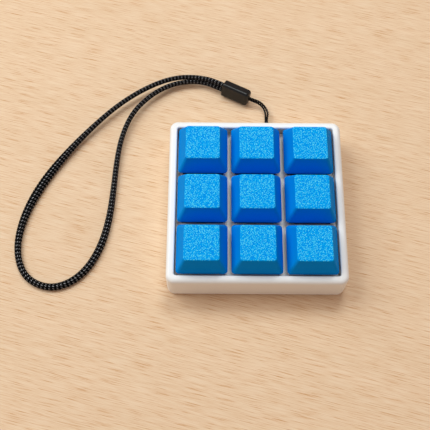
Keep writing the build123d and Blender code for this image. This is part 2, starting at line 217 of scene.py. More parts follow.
# %% Build the Moulding group
moulding, ends_in, ends_out = start_group(
    "Moulding", {"Grains per metre": 5000.0, "Clouds per metre": 70.0}, ["Grain", "Cloud"]
)
place = add_node(moulding, "ShaderNodeTexCoord")
grain = add_node(moulding, "ShaderNodeTexNoise", {"Detail": 2.0, "Roughness": 0.6})
cloud = add_node(moulding, "ShaderNodeTexNoise", {"Detail": 3.0, "Roughness": 0.5})
join(moulding, place, "Object", grain, "Vector")
join(moulding, place, "Object", cloud, "Vector")
join(moulding, ends_in, "Grains per metre", grain, "Scale")
join(moulding, ends_in, "Clouds per metre", cloud, "Scale")
join(moulding, grain, "Fac", ends_out, "Grain")
join(moulding, cloud, "Fac", ends_out, "Cloud")
print(moulding.name, "group has", len(moulding.nodes), "nodes")

# %% Build the Edges group
edges, ends_in, ends_out = start_group("Edges", {"Start": 0.52, "Full": 0.60}, ["Edge"])
shape = add_node(edges, "ShaderNodeNewGeometry")
reach = add_node(edges, "ShaderNodeMapRange")
join(edges, shape, "Pointiness", reach, "Value")
join(edges, ends_in, "Start", reach, "From Min")
join(edges, ends_in, "Full", reach, "From Max")
join(edges, reach, "Result", ends_out, "Edge")
print(edges.name, "group has", len(edges.nodes), "nodes")

# %% Build the Yarn group
yarn, ends_in, ends_out = start_group("Yarn", {"Filaments": 9.0, "Slant": 2.0}, ["Ridge", "Fuzz", "Crest"])
strand_crest = add_node(yarn, "ShaderNodeAttribute", attribute_name="crest")
crown = add_node(
    yarn, "ShaderNodeMapRange", {"From Min": 0.45, "From Max": 0.75}, interpolation_type="SMOOTHSTEP"
)
join(yarn, strand_crest, "Fac", crown, "Value")
join(yarn, crown, "Result", ends_out, "Crest")
strand_place = add_node(yarn, "ShaderNodeUVMap", uv_map="strand")
split = add_node(yarn, "ShaderNodeSeparateXYZ")
lean = add_node(yarn, "ShaderNodeMath", operation="MULTIPLY")
across = add_node(yarn, "ShaderNodeMath", operation="MULTIPLY_ADD")
turn = add_node(yarn, "ShaderNodeMath", {1: 2 * math.pi}, operation="MULTIPLY")
wave = add_node(yarn, "ShaderNodeMath", operation="SINE")
ridge = add_node(yarn, "ShaderNodeMapRange", {"From Min": -1.0})
fuzz = add_node(yarn, "ShaderNodeTexNoise", {"Scale": 3.0, "Detail": 3.0})
join(yarn, strand_place, "UV", split, "Vector")
join(yarn, strand_place, "UV", fuzz, "Vector")
join(yarn, split, "Y", lean, 0)
join(yarn, ends_in, "Slant", lean, 1)
join(yarn, split, "X", across, 0)
join(yarn, ends_in, "Filaments", across, 1)
join(yarn, lean, "Value", across, 2)
join(yarn, across, "Value", turn, 0)
join(yarn, turn, "Value", wave, 0)
join(yarn, wave, "Value", ridge, "Value")
join(yarn, ridge, "Result", ends_out, "Ridge")
join(yarn, fuzz, "Fac", ends_out, "Fuzz")
print(yarn.name, "group has", len(yarn.nodes), "nodes")

# %% [markdown]
# A plain moulded or metal finish then needs only a few values: two colours to mix, the range of the
# roughness, and how deep the grain is. Three helpers carry a group's outputs to the shader, and each kind
# of finish is a short function that calls them.

# %% Finish makers


def tint_by(tree, source, output, first, second):
    """Two colours that a node's output mixes."""
    tint = add_node(tree, "ShaderNodeMix", {MIX_FIRST: first, MIX_SECOND: second}, data_type="RGBA")
    join(tree, source, output, tint, "Factor")
    return tint


def gloss_by(tree, source, output, rough, shader):
    """Roughness that a node's output moves between two values."""
    gloss = add_node(tree, "ShaderNodeMapRange", {"To Min": rough[0], "To Max": rough[1]})
    join(tree, source, output, gloss, "Value")
    join(tree, gloss, "Result", shader, "Roughness")


def relief_by(tree, source, output, depth, shader):
    """A bump that a node's output raises, to a depth in metres."""
    bump = add_node(tree, "ShaderNodeBump", {"Strength": 1.0, "Distance": depth})
    join(tree, source, output, bump, "Height")
    join(tree, bump, "Normal", shader, "Normal")


def moulded(name, colour, second, rough, grains=5000.0, depth=0.000004, **sockets):
    """Moulded plastic: two close colours and a drifting gloss, with a fine grain."""
    material, tree, shader = start_material(name, colour, rough[0], **sockets)
    skin = place_group(tree, moulding, Grains_per_metre=grains)
    tint = tint_by(tree, skin, "Cloud", colour, second)
    join(tree, tint, MIX_RESULT, shader, "Base Color")
    gloss_by(tree, skin, "Cloud", rough, shader)
    relief_by(tree, skin, "Grain", depth, shader)
    return material


def plated(name, colour, bright, rough):
    """Metal: brighter on its edges, with a drifting gloss and a very fine grain."""
    material, tree, shader = start_material(name, colour, rough[0], Metallic=1.0)
    skin = place_group(tree, moulding, Grains_per_metre=9000.0, Clouds_per_metre=400.0)
    rim = place_group(tree, edges)
    tint = tint_by(tree, rim, "Edge", colour, bright)
    join(tree, tint, MIX_RESULT, shader, "Base Color")
    gloss_by(tree, skin, "Cloud", rough, shader)
    relief_by(tree, skin, "Grain", 0.000002, shader)
    return material


def corded(name, colour, sheen, crest_highlight, filaments, slant, depth):
    """Black yarn: filaments at a slant with a faint painted sheen on their ridges, and a painted highlight
    and a glossier coat where a strand lies on top.
    """
    material, tree, shader = start_material(
        name, colour, 0.4, Specular_IOR_Level=0.04, Coat_Roughness=0.23, Coat_IOR=1.8
    )
    fibres = place_group(tree, yarn, Filaments=filaments, Slant=slant)
    tint = tint_by(tree, fibres, "Ridge", colour, sheen)
    # Strands that lie on top are painted paler: a painted highlight on the crests
    top = tint_by(tree, fibres, "Crest", colour, crest_highlight)
    join(tree, tint, MIX_RESULT, top, MIX_FIRST)
    join(tree, top, MIX_RESULT, shader, "Base Color")
    join(tree, fibres, "Crest", shader, "Coat Weight")
    gloss_by(tree, fibres, "Fuzz", (0.35, 0.5), shader)
    relief_by(tree, fibres, "Ridge", depth, shader)
    return material


print("finish makers ready")

# %% [markdown]
# ## Floor
# The keypad lies on a pale wooden table top. It is one large sheet: fine streaks along the grain, on
# broader bands of tone, both of them noise that is drawn out one way, so the wood never repeats. Its
# colour matters for more than the background: it lights the white front wall of the case from below.

# %% Colour the wood
floor_finish, tree, shader = start_material(
    "floor_finish", paint(231, 199, 166), 0.6, Specular_IOR_Level=0.2
)
place = add_node(tree, "ShaderNodeTexCoord")
grain_way = (0, 0, math.radians(-14))


def along_grain(stretch, values):
    """Noise drawn out along the wood's grain."""
    drawn = add_node(
        tree, "ShaderNodeMapping", {"Rotation": grain_way, "Scale": (stretch, 1, 1)}, vector_type="TEXTURE"
    )
    noise = add_node(tree, "ShaderNodeTexNoise", values)
    join(tree, place, "Object", drawn, "Vector")
    join(tree, drawn, "Vector", noise, "Vector")
    return noise


streaks = along_grain(28, {"Scale": 3000.0, "Detail": 3.0, "Roughness": 0.6})
bands = along_grain(7, {"Scale": 130.0, "Detail": 3.0, "Roughness": 0.55, "Distortion": 0.4})
streak_tint = colour_ramp(
    tree, (0.4, paint(243, 216, 185)), (0.58, paint(234, 200, 164)), (0.72, paint(200, 142, 86))
)
band_tint = colour_ramp(tree, (0.3, (1.0, 1.0, 1.0, 1.0)), (0.7, (0.96, 0.95, 0.93, 1.0)))
timber = add_node(tree, "ShaderNodeMix", {"Factor": 1.0}, data_type="RGBA", blend_type="MULTIPLY")
join(tree, streaks, "Fac", streak_tint, "Fac")
join(tree, bands, "Fac", band_tint, "Fac")
join(tree, streak_tint, "Color", timber, MIX_FIRST)
join(tree, band_tint, "Color", timber, MIX_SECOND)
join(tree, timber, MIX_RESULT, shader, "Base Color")
print(floor_finish.name, "has", len(tree.nodes), "nodes")

# %% Lay the floor
floor_half = 1.5
floor_shape = bmesh.new()
bmesh.ops.create_grid(floor_shape, x_segments=8, y_segments=8, size=floor_half)
floor_mesh = bpy.data.meshes.new("floor")
floor_shape.to_mesh(floor_mesh)
floor_shape.free()
floor_mesh.materials.append(floor_finish)
floor = bpy.data.objects.new("floor", floor_mesh)
scene.collection.objects.link(floor)
print("floor", [round(side, 2) for side in floor.dimensions])

# %% [markdown]
# ## Building forms from rings
# Most pieces here are rounded blocks. They could be boxes with bevels, but then every edge would have the
# same round. So each is drawn as a stack of rings, one rounded outline after the other, and neighbouring
# rings are joined with quads. A skin collects the points and faces of one piece. All lengths are
# millimetres until the mesh is made.

# %% Ring helpers
Skin = namedtuple("Skin", ["points", "faces"])


def arc(steps, start, end):
    """Angles from start to end, given in degrees and returned in radians."""
    return [math.radians(start + (end - start) * step / steps) for step in range(steps + 1)]


def rounded_outline(left, right, front, back, radius, steps=8):
    """Points of a rounded rectangle, anticlockwise, corner by corner from the front right one."""
    middles = [
        (right - radius, front + radius, -90),
        (right - radius, back - radius, 0),
        (left + radius, back - radius, 90),
        (left + radius, front + radius, 180),
    ]
    outline = []
    for x, y, start in middles:
        for angle in arc(steps, start, start + 90):
            outline.append((x + radius * math.cos(angle), y + radius * math.sin(angle)))
    return outline


def square_outline(half, radius, steps=8):
    """Points of a rounded square round the origin."""
    return rounded_outline(-half, half, -half, half, radius, steps)


def round_outline(radius, count):
    """Points of a circle round the origin."""
    return [(radius * math.cos(angle), radius * math.sin(angle)) for angle in arc(count, 0, 360)[:-1]]


def level_ring(outline, height):
    """An outline as a ring at one height."""
    return [(x, y, height) for x, y in outline]


def moved(rings, x, y, z=0.0):
    """Rings moved from the origin to a place."""
    return [[(x + across, y + along, z + rise) for across, along, rise in ring] for ring in rings]


def ring_quads(count, size, first=0, closed=False):
    """Quads between neighbouring rings of one size, whose points are numbered from first."""
    pairs = [(number, number + 1) for number in range(count - 1)]
    if closed:
        pairs.append((count - 1, 0))
    faces = []
    for low, high in pairs:
        for step in range(size):
            after = (step + 1) % size
            faces.append(
                (
                    first + low * size + step,
                    first + low * size + after,
                    first + high * size + after,
                    first + high * size + step,
                )
            )
    return faces


def add_stack(skin, rings):
    """Adds a stack of rings to a skin, with a face over each end."""
    first = len(skin.points)
    size = len(rings[0])
    last = first + size * (len(rings) - 1)
    skin.points.extend(point for ring in rings for point in ring)
    skin.faces.extend(ring_quads(len(rings), size, first))
    skin.faces.append(tuple(range(first + size - 1, first - 1, -1)))
    skin.faces.append(tuple(range(last, last + size)))


def stacked(rings):
    """The skin of one stack of rings."""
    skin = Skin([], [])
    add_stack(skin, rings)
    return skin


print("ring helpers ready")

# %% [markdown]
# A skin then becomes an object. Recesses and mouths are cut out with closed cutters by a boolean. Shading
# is smooth except across sharp edges, and a modifier lets broad faces decide the normals, so that flat
# faces stay flat beside their rounded edges.

# %% Piece helpers


def mesh_object(name, skin):
    """A skin as a mesh object in the scene."""
    mesh = bpy.data.meshes.new(name)
    mesh.from_pydata([Vector(point) * MM for point in skin.points], [], skin.faces)
    mesh.validate()
    piece = bpy.data.objects.new(name, mesh)
    scene.collection.objects.link(piece)
    return piece


def cut_away(piece, cutters):
    """Subtracts closed cutters from a piece and keeps the result as its mesh."""
    for cutter in cutters:
        shape = bmesh.new()
        shape.from_mesh(cutter.data)
        bmesh.ops.recalc_face_normals(shape, faces=shape.faces)
        shape.to_mesh(cutter.data)
        shape.free()
        modifier = piece.modifiers.new(cutter.name, "BOOLEAN")
        modifier.operation = "DIFFERENCE"
        modifier.object = cutter
        modifier.solver = "EXACT"
    cut = bpy.data.meshes.new_from_object(piece.evaluated_get(bpy.context.evaluated_depsgraph_get()))
    piece.modifiers.clear()
    piece.data = cut
    for cutter in cutters:
        bpy.data.objects.remove(cutter)


def make_piece(name, skin, finishes, body, sharp=32, cutters=(), even=True):
    """A piece that rides on a body: cut, smooth except across sharp edges, and with even normals."""
    piece = mesh_object(name, skin)
    for finish in finishes:
        piece.data.materials.append(finish)
    if cutters:
        cut_away(piece, cutters)
    piece.data.shade_smooth()
    piece.data.set_sharp_from_angle(angle=math.radians(sharp))
    if even:
        weight = piece.modifiers.new("even_normals", "WEIGHTED_NORMAL")
        weight.keep_sharp = True
    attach(piece, body)
    return piece


print("piece helpers ready")

# %% [markdown]
# ## Wrist cord
# The loop is a braided cord about two millimetres thick. A plain tube with a bump would look like wire,
# so the braid is real: nine strands turn one way round the cord, nine the other way, and they pass over
# and under each other. The cord is limp, so it lies flatter and wider on two stretches of the loop. Most
# of it lies on the table, and its neck rises a few millimetres to the sleeve. The route is a smooth curve
# that the given control points pull into shape, and the strands follow the points of that curve.

# %% The sleeve's place
sleeve_middle = Vector((-6.56, 49.67, 3.145))
sleeve_turn = math.radians(-26.5)
sleeve_lean = math.radians(20)
sleeve_axis = Vector((math.cos(sleeve_turn), math.sin(sleeve_turn), 0))
sleeve_level = Vector((-math.sin(sleeve_turn), math.cos(sleeve_turn), 0))
sleeve_up = sleeve_level * math.sin(sleeve_lean) + Vector((0, 0, math.cos(sleeve_lean)))
sleeve_length = 11.2
pocket_depth = 2.0


def seat(side, height, out):
    """A point on the sleeve: which end, how far up its width, and how far out from the pocket's floor."""
    along = side * (sleeve_length / 2 - pocket_depth + out)
    return sleeve_middle + sleeve_axis * along + sleeve_up * height


print("sleeve", round(sleeve_middle.z, 1), "mm up at its middle")

# %% The two routes
wrist_seat = 1.15
wrist_lead = 4.5
wrist_route = [
    seat(-1, wrist_seat, 0),
    seat(-1, wrist_seat, wrist_lead),
    (-17.8, 55.65, 3.7),
    (-23.55, 56.7, 3.4),
    (-29.9, 56.5, 3.2),
    (-37.05, 54.2, 3.1),
    (-45.75, 49.15, 3.0),
    (-54.2, 42.3, 2.8),
    (-63.4, 32.65, 2.2),
    (-71.5, 22.65, 1.5),
    (-78.8, 11.5, 1.0),
    (-84.0, -0.45, 1.0),
    (-86.1, -12.0, 1.0),
    (-84.45, -21.15, 1.0),
    (-80.25, -27.05, 1.0),
    (-72.7, -29.8, 1.0),
    (-65.3, -27.6, 1.0),
    (-59.3, -21.7, 1.0),
    (-55.2, -12.75, 1.0),
    (-53.05, -2.05, 1.0),
    (-52.3, 9.5, 1.0),
    (-51.75, 20.25, 1.5),
    (-50.45, 30.45, 2.0),
    (-46.75, 40.85, 2.5),
    (-40.25, 48.35, 2.7),
    (-33.2, 53.2, 2.6),
    (-25.95, 55.35, 2.3),
    (-19.3, 55.25, 2.0),
    seat(-1, -wrist_seat, wrist_lead),
    seat(-1, -wrist_seat, 0),
]
thin_seat = 0.42
thin_lead = 3.2
thin_route = [
    seat(1, thin_seat, 0),
    seat(1, thin_seat, thin_lead),
    (2.7, 46.2, 2.5),
    (4.7, 44.3, 2.0),
    (5.9, 41.4, 1.9),
    (5.2, 38.3, 2.6),
    (5.4, 35.0, 3.9),
    (6.5, 32.0, 4.6),
    (6.5, 29.2, 4.6),
    (3.5, 29.2, 4.6),
    (3.5, 32.0, 4.6),
    (4.6, 35.0, 3.9),
    (4.75, 38.3, 2.4),
    (4.85, 41.25, 1.7),
    (4.2, 43.8, 1.65),
    (2.4, 45.7, 1.95),
    seat(1, -thin_seat, thin_lead),
    seat(1, -thin_seat, 0),
]
print(len(wrist_route), "and", len(thin_route), "control points")

# %% Read the smooth lines
Station = namedtuple("Station", ["point", "along", "left", "up"])


def smooth_line(name, route, fineness):
    """Points of the curve that a route's control points pull into shape, in millimetres."""
    curve = bpy.data.curves.new(name, "CURVE")
    curve.dimensions = "3D"
    curve.resolution_u = fineness
    spline = curve.splines.new("NURBS")
    spline.points.add(len(route) - 1)
    for point, place in zip(spline.points, route):
        point.co = (*(Vector(place) * MM), 1.0)
    spline.order_u = 3
    spline.use_endpoint_u = True
    holder = bpy.data.objects.new(name, curve)
    scene.collection.objects.link(holder)
    line = bpy.data.meshes.new_from_object(holder)
    points = [vertex.co / MM for vertex in line.vertices]
    bpy.data.objects.remove(holder)
    bpy.data.curves.remove(curve)
    bpy.data.meshes.remove(line)
    return points


def line_stations(points):
    """A station at each point of a line: how far along it is, and the directions to the left and up."""
    stations = []
    along = 0.0
    for number, point in enumerate(points):
        before = points[max(number - 1, 0)]
        after = points[min(number + 1, len(points) - 1)]
        ahead = (after - before).normalized()
        left = Vector((0, 0, 1)).cross(ahead).normalized()
        along += (point - before).length
        stations.append(Station(point, along, left, ahead.cross(left)))
    return stations


wrist_line = line_stations(smooth_line("wrist_line", wrist_route, fineness=48))
thin_line = line_stations(smooth_line("thin_line", thin_route, fineness=24))

# %% [markdown]
# One strand is a flat ribbon of yarn. Its middle winds round the cord's line, and its section is a small
# ellipse that stays flat against the cord. Each point keeps its place across and along the strand, and
# how far it lies on top, for the Yarn group. The same helper serves the braid, the twisted thin cord and
# the springs.

# %% Strand helpers
Slice = namedtuple("Slice", ["middle", "outward", "half_width", "half_thick", "crest"])


def add_strand(skin, slices, sides=6):
    """Adds a ribbon through its slices to a skin, and returns the places of its points."""
    rings, places = [], []
    along = 0.0
    for number, cut in enumerate(slices):
        before = slices[max(number - 1, 0)].middle
        after = slices[min(number + 1, len(slices) - 1)].middle
        along += (cut.middle - before).length
        ahead = (after - before).normalized()
        across = ahead.cross(cut.outward).normalized()
        out = across.cross(ahead)
        ring = []
        for side in range(sides):
            angle = 2 * math.pi * side / sides
            flat = across * (math.cos(angle) * cut.half_width)
            thick = out * (math.sin(angle) * cut.half_thick)
            ring.append(cut.middle + flat + thick)
            places.append((side / sides, along, cut.crest * max(math.sin(angle), 0)))
        rings.append(ring)
    add_stack(skin, rings)
    return places


def map_strands(piece, places):
    """Keeps each point's place on its strand, and how far it lies on top, for the Yarn group to read."""
    layer = piece.data.uv_layers.new(name="strand")
    for loop in piece.data.loops:
        layer.data[loop.index].uv = places[loop.vertex_index][:2]
    crest = piece.data.attributes.new("crest", "FLOAT", "POINT")
    crest.data.foreach_set("value", [place[2] for place in places])


print("strand helpers ready")

# %% Braid sizes

# Strands each way, the length of cord to one turn, and how far strands weave in and out
carriers = 9
braid_turn = 12.4
braid_start = math.radians(15)
braid_weave = 0.1

# Half sizes of the cord, and where along it and over what run it swells by how much
cord_half_width = 0.9
cord_half_height = 0.92
cord_swells = [(90.0, 22.0, 0.7), (155.0, 32.0, 0.42)]
core_radius = 0.55

# A strand is as wide as a share of the cord, and those that wind the second way get less painted highlight
# and less coat
strand_width_share = 0.23
strand_half_thick = 0.16
second_way_crest = 0.5


def braid_half_width(along):
    """Half of the braid's width at a length along the cord."""
    swell = sum(more * math.exp(-(((along - top) / run) ** 2)) for top, run, more in cord_swells)
    return cord_half_width + swell


widest = max(braid_half_width(station.along) for station in wrist_line)
print("braid", round(2 * widest, 1), "mm across where it is widest")

# %% Braid the wrist cord


def braid_strand(way, carrier):
    """Slices of one strand, which winds one way round the cord, over and under the others."""
    slices = []
    for point, along, left, up in wrist_line:
        half_width = braid_half_width(along)
        angle = braid_start + 2 * math.pi * (way * along / braid_turn + carrier / carriers)
        lift = way * math.cos(2 * math.pi * carriers * along / braid_turn)
        across = math.cos(angle) * (half_width - strand_half_thick)
        rise = math.sin(angle) * (cord_half_height - strand_half_thick)
        out = left * across + up * rise
        middle = point + out * (1 + braid_weave * lift)
        # How far the strand lies on top, which sets both its painted highlight and its coat
        crest = (lift + 1) / 2 * (1.0 if way > 0 else second_way_crest)
        slices.append(Slice(middle, out, strand_width_share * half_width, strand_half_thick, crest))
    return slices


braid_skin = Skin([], [])
braid_places = []
for way in (1, -1):
    for carrier in range(carriers):
        braid_places += add_strand(braid_skin, braid_strand(way, carrier))
core = [Slice(station.point, station.up, core_radius, core_radius, 0.0) for station in wrist_line]
braid_places += add_strand(braid_skin, core)
# Near-black yarn, a faint painted sheen on the filaments, and a pale grey painted highlight on the crests
braid_finish = corded(
    "braid_finish",
    paint(3, 3, 4),
    paint(6, 6, 7),
    paint(92, 92, 96),
    filaments=5.0,
    slant=1.6,
    depth=0.00002,
)
braid = make_piece("wrist_braid", braid_skin, [braid_finish], "base", sharp=80)
map_strands(braid, braid_places)
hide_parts("wrist_cord")
print(len(braid.data.vertices), "points in the braid")

# %% [markdown]
# ## Thin cord
# A thinner doubled cord ties the sleeve to the case. Three plies twist round each other, which gives it
# the slanted bands that show beside the sleeve.

# %% Twist the thin cord
plies = 3
ply_sides = 8
ply_turn = 3.2
ply_reach = 0.2
ply_radius = 0.2
# How far each ply's outer side lies on top, which sets its painted highlight and its coat
ply_crest = 0.65


def thin_ply(ply):
    """Slices of one ply, which winds round the thin cord's line."""
    slices = []
    for point, along, left, up in thin_line:
        angle = 2 * math.pi * (along / ply_turn + ply / plies)
        out = left * math.cos(angle) + up * math.sin(angle)
        slices.append(Slice(point + out * ply_reach, out, ply_radius, ply_radius, ply_crest))
    return slices


thin_skin = Skin([], [])
thin_places = []
for ply in range(plies):
    thin_places += add_strand(thin_skin, thin_ply(ply), sides=ply_sides)
# Near-black plies with a dim painted highlight on their outer sides
thin_finish = corded(
    "thin_finish",
    paint(6, 6, 7),
    paint(14, 14, 15),
    paint(40, 40, 43),
    filaments=8.0,
    slant=2.2,
    depth=0.00002,
)
thin_twist = make_piece("thin_twist", thin_skin, [thin_finish], "base", sharp=80)
map_strands(thin_twist, thin_places)
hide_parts("thin_cord")
print(len(thin_twist.data.vertices), "points in the thin cord")

# %% [markdown]
# ## Cord sleeve
# The small black block grips both ends of the loop and of the thin cord. It is a moulded bar with soft
# edges, squarer at the loop's end and rounder at the other, and each end has a slot that the cords go
# into. Its rings stand across its axis, from the floor of one slot out over the end, along the sides and
# into the other slot.

# %% Mould the sleeve
sleeve_half_width = 2.9
sleeve_half_thick = 2.0
sleeve_edge = 0.95
sleeve_least_edge = 0.3
end_steps = 5
slot_lip = 0.15
slot_roundness = 0.95
sleeve_side = sleeve_axis.cross(sleeve_up)


def sleeve_ring(along, half_width, half_thick, radius):
    """One ring of the sleeve, across its axis."""
    outline = rounded_outline(-half_thick, half_thick, -half_width, half_width, radius)
    return [sleeve_middle + sleeve_axis * along + sleeve_side * x + sleeve_up * y for x, y in outline]


def sleeve_end(side, round_off, slot_half_width, slot_half_thick):
    """Rings from a slot's floor out over a rounded end to the start of the straight sides."""
    tip = sleeve_length / 2
    radius = slot_half_thick * slot_roundness
    rings = [
        sleeve_ring(side * (tip - pocket_depth), slot_half_width, slot_half_thick, radius),
        sleeve_ring(side * (tip - slot_lip), slot_half_width, slot_half_thick, radius),
        sleeve_ring(side * tip, slot_half_width + slot_lip, slot_half_thick + slot_lip, radius + slot_lip),
    ]
    for angle in arc(end_steps, 0, 90):
        inset = round_off * (1 - math.sin(angle))
        along = side * (tip - round_off * (1 - math.cos(angle)))
        edge = max(sleeve_edge - inset, sleeve_least_edge)
        rings.append(sleeve_ring(along, sleeve_half_width - inset, sleeve_half_thick - inset, edge))
    return rings


loop_end = sleeve_end(-1, round_off=0.5, slot_half_width=2.0, slot_half_thick=0.95)
cord_end = sleeve_end(1, round_off=1.3, slot_half_width=1.0, slot_half_thick=0.5)
sleeve_finish = moulded(
    "sleeve_finish",
    paint(13, 14, 16),
    paint(18, 19, 21),
    (0.24, 0.32),
    grains=4500.0,
    depth=0.000008,
    Specular_IOR_Level=0.4,
)
sleeve = make_piece(
    "sleeve_block", stacked(loop_end + cord_end[::-1]), [sleeve_finish], "base"
)
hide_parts("cord_sleeve")
print("sleeve", [round(side / MM, 1) for side in sleeve.dimensions])

# %% [markdown]
# ## Keycaps
# Each key is a tapered block with a flat, finely grained top and smooth satin sides. The block is a stack
# of rings: a small round at the hem, the straight taper, a round over the top edge, and one flat face on
# top. Below, the skin turns in to a hollow with a square boss, and the boss has a cross-shaped socket for
# the stem.

# %% Keycap sizes

# The outside: half widths at the hem and at the top, corners, and the rounds at the hem and over the top
cap_base_half = 8.9
cap_base_back = 9.2
cap_top_half = 6.05
cap_top_front = 6.8
cap_top_back = 6.05
cap_base_corner = 1.3
cap_top_corner = 0.95
cap_least_corner = 0.15
cap_corner_pull = 0.6
cap_hem = 0.06
cap_edge = 0.45
cap_slope = 18
taper_steps = 5
edge_steps = 6

# The share of the round over the top that the grained top finish covers, whose paler colour there is also a
# painted highlight along the top's edge
grain_and_highlight_share = 0.4

# The hollow, and the boss with its cross-shaped socket
cap_wall = 1.3
cap_roof = 1.5
hollow_lead = 0.3
hollow_flare = 0.1
boss_half = 2.75
boss_low = 14.4
boss_overlap = 0.2
cross_half_length = 2.05
cross_half_arm = 0.65
cross_depth = 4.0
print("keycap top", 2 * cap_top_half, "by", cap_top_front + cap_top_back, "mm")

# %% [markdown]
# The sides are a plain moulded finish. The top is covered with small pebbles: a smooth cell pattern,
# drawn out a little one way, with some fine grain on it. The same height tints the colour, paler on the
# crests, because the real crests catch more light than a bump shows at this distance.

# %% Keycap finishes
fine_grain_share = 0.3
cap_side = moulded(
    "cap_side",
    paint(0, 142, 234),
    paint(0, 147, 238),
    (0.6, 0.7),
    grains=3500.0,
    depth=0.000006,
    Specular_IOR_Level=0.03,
)
cap_top, tree, shader = start_material("cap_top", paint(8, 168, 250), 0.6, Specular_IOR_Level=0.03)
fine_grain = place_group(tree, moulding, Grains_per_metre=1500.0, Clouds_per_metre=110.0)
place = add_node(tree, "ShaderNodeTexCoord")
stretch = add_node(
    tree,
    "ShaderNodeMapping",
    {"Rotation": (0, 0, math.radians(40)), "Scale": (1.45, 1, 1)},
    vector_type="TEXTURE",
)
pebbles = add_node(tree, "ShaderNodeTexVoronoi", {"Scale": 2900.0, "Smoothness": 0.2}, feature="SMOOTH_F1")
crests = add_node(tree, "ShaderNodeMath", {0: 1.0}, operation="SUBTRACT")
height = add_node(tree, "ShaderNodeMath", {1: fine_grain_share}, operation="MULTIPLY_ADD")
tint = colour_ramp(tree, (0.5, paint(0, 149, 244)), (0.8, paint(0, 188, 255)), (0.97, paint(128, 240, 255)))
join(tree, place, "Object", stretch, "Vector")
join(tree, stretch, "Vector", pebbles, "Vector")
join(tree, pebbles, "Distance", crests, 1)
join(tree, fine_grain, "Grain", height, 0)
join(tree, crests, "Value", height, 2)
join(tree, height, "Value", tint, "Fac")
join(tree, tint, "Color", shader, "Base Color")
relief_by(tree, height, "Value", 0.00007, shader)
print("cap finishes", cap_side.name, cap_top.name)

# %% Keycap form


def between(start, end, share):
    """A value that lies a share of the way from start to end."""
    return start + (end - start) * share


def cap_ring(height, rise, inset):
    """One ring of a keycap's outside, at a rise above its hem and drawn in by an inset."""
    share = rise / height
    side = between(cap_base_half, cap_top_half, share) - inset
    front = between(cap_base_half, cap_top_front, share) - inset
    back = between(cap_base_back, cap_top_back, share) - inset
    corner = between(cap_base_corner, cap_top_corner, share) - cap_corner_pull * inset
    return level_ring(rounded_outline(-side, side, -front, back, max(corner, cap_least_corner)), rise)


def cap_outside(height):
    """Rings from the hem to the rim of the flat top."""
    rings = [cap_ring(height, 0, cap_hem), cap_ring(height, cap_hem, 0)]
    slope = math.radians(cap_slope)
    edge_low = height - cap_edge * (1 - math.sin(slope))
    for step in range(1, taper_steps):
        rings.append(cap_ring(height, edge_low * step / taper_steps, 0))
    tangent = cap_edge * math.tan((math.pi / 2 - slope) / 2)
    for angle in arc(edge_steps, cap_slope, 90):
        below = cap_edge * (1 - math.sin(angle))
        inset = tangent - cap_edge * math.cos(angle) + below * math.tan(slope)
        rings.append(cap_ring(height, height - below, inset))
    return rings


def cap_inside(height):
    """Rings from the hollow's roof down to the hem."""
    return [
        cap_ring(height, height - cap_roof, cap_wall),
        cap_ring(height, hollow_lead, cap_wall),
        cap_ring(height, 0, cap_wall - hollow_flare),
    ]


def cross_outline(half_length, half_arm, corner):
    """Twelve points: a cross, or with a corner the square round it, point for point."""
    outline = []
    for angle in arc(4, 0, 360)[:-1]:
        for x, y in ((half_length, -half_arm), (half_length, half_arm), (corner, corner)):
            across = x * math.cos(angle) - y * math.sin(angle)
            along = x * math.sin(angle) + y * math.cos(angle)
            outline.append((across, along))
    return outline


def cap_boss(roof):
    """Rings of the boss, down from the roof and up into its socket."""
    square = cross_outline(boss_half, cross_half_arm, boss_half)
    cross = cross_outline(cross_half_length, cross_half_arm, cross_half_arm)
    return [
        level_ring(square, roof + boss_overlap),
        level_ring(square, boss_low),
        level_ring(cross, boss_low),
        level_ring(cross, boss_low + cross_depth),
    ]


print("keycap rings ready,", len(cap_outside(1.0)), "of them outside")

# %% Make the nine keycaps


def make_keycap(name):
    """A finished keycap in place of a CAD keycap, riding on its key."""
    low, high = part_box(f"keycap_{name}")
    x = (low[0] + high[0]) / 2 / MM
    y = low[1] / MM + cap_base_half
    hem = low[2] / MM
    height = (high[2] - low[2]) / MM
    skin = stacked(moved(cap_inside(height) + cap_outside(height), x, y, hem))
    add_stack(skin, moved(cap_boss(hem + height - cap_roof), x, y))
    piece = make_piece(f"cap_{name}", skin, [cap_side, cap_top], f"key_{name}")
    grain_and_highlight_low = hem + height - grain_and_highlight_share * cap_edge * (1 - math.sin(math.radians(cap_slope)))
    # Faces on the top and on the upper part of its edge round get the paler top finish, partly a painted
    # highlight on that edge
    for face in piece.data.polygons:
        if face.center.z > grain_and_highlight_low * MM:
            face.material_index = 1
    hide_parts(f"keycap_{name}")
    return piece


rows = ("front", "middle", "back")
columns = ("left", "centre", "right")
key_names = [f"{row}_{column}" for row in rows for column in columns]
keycaps = [make_keycap(name) for name in key_names]
print(len(keycaps), "keycaps of", len(keycaps[0].data.vertices), "points")

# %% [markdown]
# ## Case
# The white case is a moulded frame with a fat round over its outer top edge and a small one inside. Its
# section is carried round the square as rings, and because the last ring meets the first, the skin closes
# on itself. The socket's mouth and the pocket for the cord's eye are then cut with boolean cutters that
# flare a little at the mouth.

# %% Case section
case_half = 31.3
case_foot = 0.5
case_corner = 3.0
case_corner_steps = 10
rim_top = 13.3
rim_round = 1.5
rim_steps = 10
rim_inner_round = 0.55
rim_inner_steps = 6
foot_round = 0.5
foot_steps = 5
opening_half = 28.5
opening_corner = 0.8
ledge_half = 27.3
seat_half = 29.2
seat_corner = 0.3
plate_low = 7.1
cover_high = 1.7


def case_ring(half, height, radius):
    """One ring of the case, round the square."""
    return level_ring(square_outline(half, radius, case_corner_steps), height)


